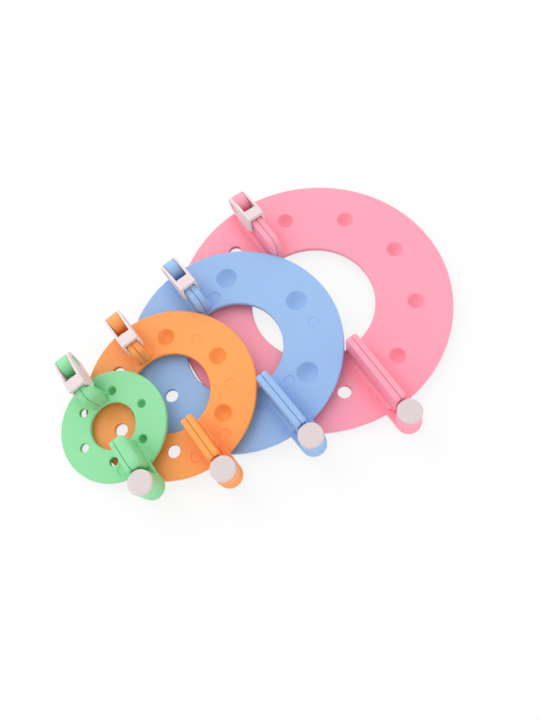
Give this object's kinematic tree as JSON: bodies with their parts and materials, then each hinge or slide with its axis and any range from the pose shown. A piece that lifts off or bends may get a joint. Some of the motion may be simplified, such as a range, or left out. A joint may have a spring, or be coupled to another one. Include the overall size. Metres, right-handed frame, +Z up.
{
  "type": "pom-pom maker set",
  "caption": "Nested set of hinged ring pom-pom makers: half rings with pegs and sockets, fins along the split, hinge pins and flip-over latch clips.",
  "frame": {"origin": "middle of the set's footprint, on the surface it lies on", "axes": "+Z up; +X along the set's longer side, from the smallest maker towards the largest"},
  "size_m": [0.127, 0.1126, 0.0179],
  "materials": {
    "pink_plastic": "smooth moulded, soft gloss",
    "blue_plastic": "smooth moulded, soft gloss",
    "orange_plastic": "smooth moulded, soft gloss",
    "green_plastic": "smooth moulded, soft gloss",
    "white_plastic": "smooth moulded, soft gloss"
  },
  "bodies": {
    "pink_socket_half": {"pink_socket_half": "pink_plastic", "pink_hinge_pin": "white_plastic"},
    "pink_peg_half": {"pink_peg_half": "pink_plastic"},
    "pink_latch_clip": {"pink_latch_clip": "white_plastic"},
    "blue_socket_half": {"blue_socket_half": "blue_plastic", "blue_hinge_pin": "white_plastic"},
    "blue_peg_half": {"blue_peg_half": "blue_plastic"},
    "blue_latch_clip": {"blue_latch_clip": "white_plastic"},
    "orange_socket_half": {"orange_socket_half": "orange_plastic", "orange_hinge_pin": "white_plastic"},
    "orange_peg_half": {"orange_peg_half": "orange_plastic"},
    "orange_latch_clip": {"orange_latch_clip": "white_plastic"},
    "green_socket_half": {"green_socket_half": "green_plastic", "green_hinge_pin": "white_plastic"},
    "green_peg_half": {"green_peg_half": "green_plastic"},
    "green_latch_clip": {"green_latch_clip": "white_plastic"}
  },
  "joints": [
    {"name": "pink_ring_hinge", "type": "hinge", "parent": "pink_socket_half", "child": "pink_peg_half", "pos_m": [0.04607, -0.03146, 0.00672], "axis": [0.0279, 0.0186, -0.9994], "range_deg": [0, 150]},
    {"name": "pink_latch", "type": "hinge", "parent": "pink_socket_half", "child": "pink_latch_clip", "pos_m": [-0.00571, 0.04598, 0.01002], "axis": [-0.8315, -0.5545, -0.0335], "range_deg": [0, 150]},
    {"name": "blue_lift", "type": "slide", "parent": "pink_socket_half", "child": "blue_peg_half", "axis": [0, 0, 1], "range_m": [0, 0.06]},
    {"name": "blue_ring_hinge", "type": "hinge", "parent": "blue_peg_half", "child": "blue_socket_half", "pos_m": [0.01666, -0.03882, 0.00855], "axis": [-0.0763, -0.0548, 0.9956], "range_deg": [0, 150]},
    {"name": "blue_latch", "type": "hinge", "parent": "blue_socket_half", "child": "blue_latch_clip", "pos_m": [-0.02726, 0.01938, 0.01171], "axis": [-0.7971, -0.5964, -0.0939], "range_deg": [0, 150]},
    {"name": "orange_lift", "type": "slide", "parent": "blue_socket_half", "child": "orange_peg_half", "axis": [0, 0, 1], "range_m": [0, 0.06]},
    {"name": "orange_ring_hinge", "type": "hinge", "parent": "orange_peg_half", "child": "orange_socket_half", "pos_m": [-0.00886, -0.04847, 0.00915], "axis": [-0.116, -0.0834, 0.9897], "range_deg": [0, 150]},
    {"name": "orange_latch", "type": "hinge", "parent": "orange_socket_half", "child": "orange_latch_clip", "pos_m": [-0.04424, -0.00013, 0.01241], "axis": [-0.8032, -0.5783, -0.1429], "range_deg": [0, 150]},
    {"name": "green_lift", "type": "slide", "parent": "orange_socket_half", "child": "green_peg_half", "axis": [0, 0, 1], "range_m": [0, 0.06]},
    {"name": "green_ring_hinge", "type": "hinge", "parent": "green_peg_half", "child": "green_socket_half", "pos_m": [-0.03263, -0.05186, 0.00912], "axis": [-0.1913, -0.1341, 0.9723], "range_deg": [0, 150]},
    {"name": "green_latch", "type": "hinge", "parent": "green_socket_half", "child": "green_latch_clip", "pos_m": [-0.05877, -0.01445, 0.01253], "axis": [-0.8069, -0.5426, -0.2336], "range_deg": [0, 150]}
  ]
}
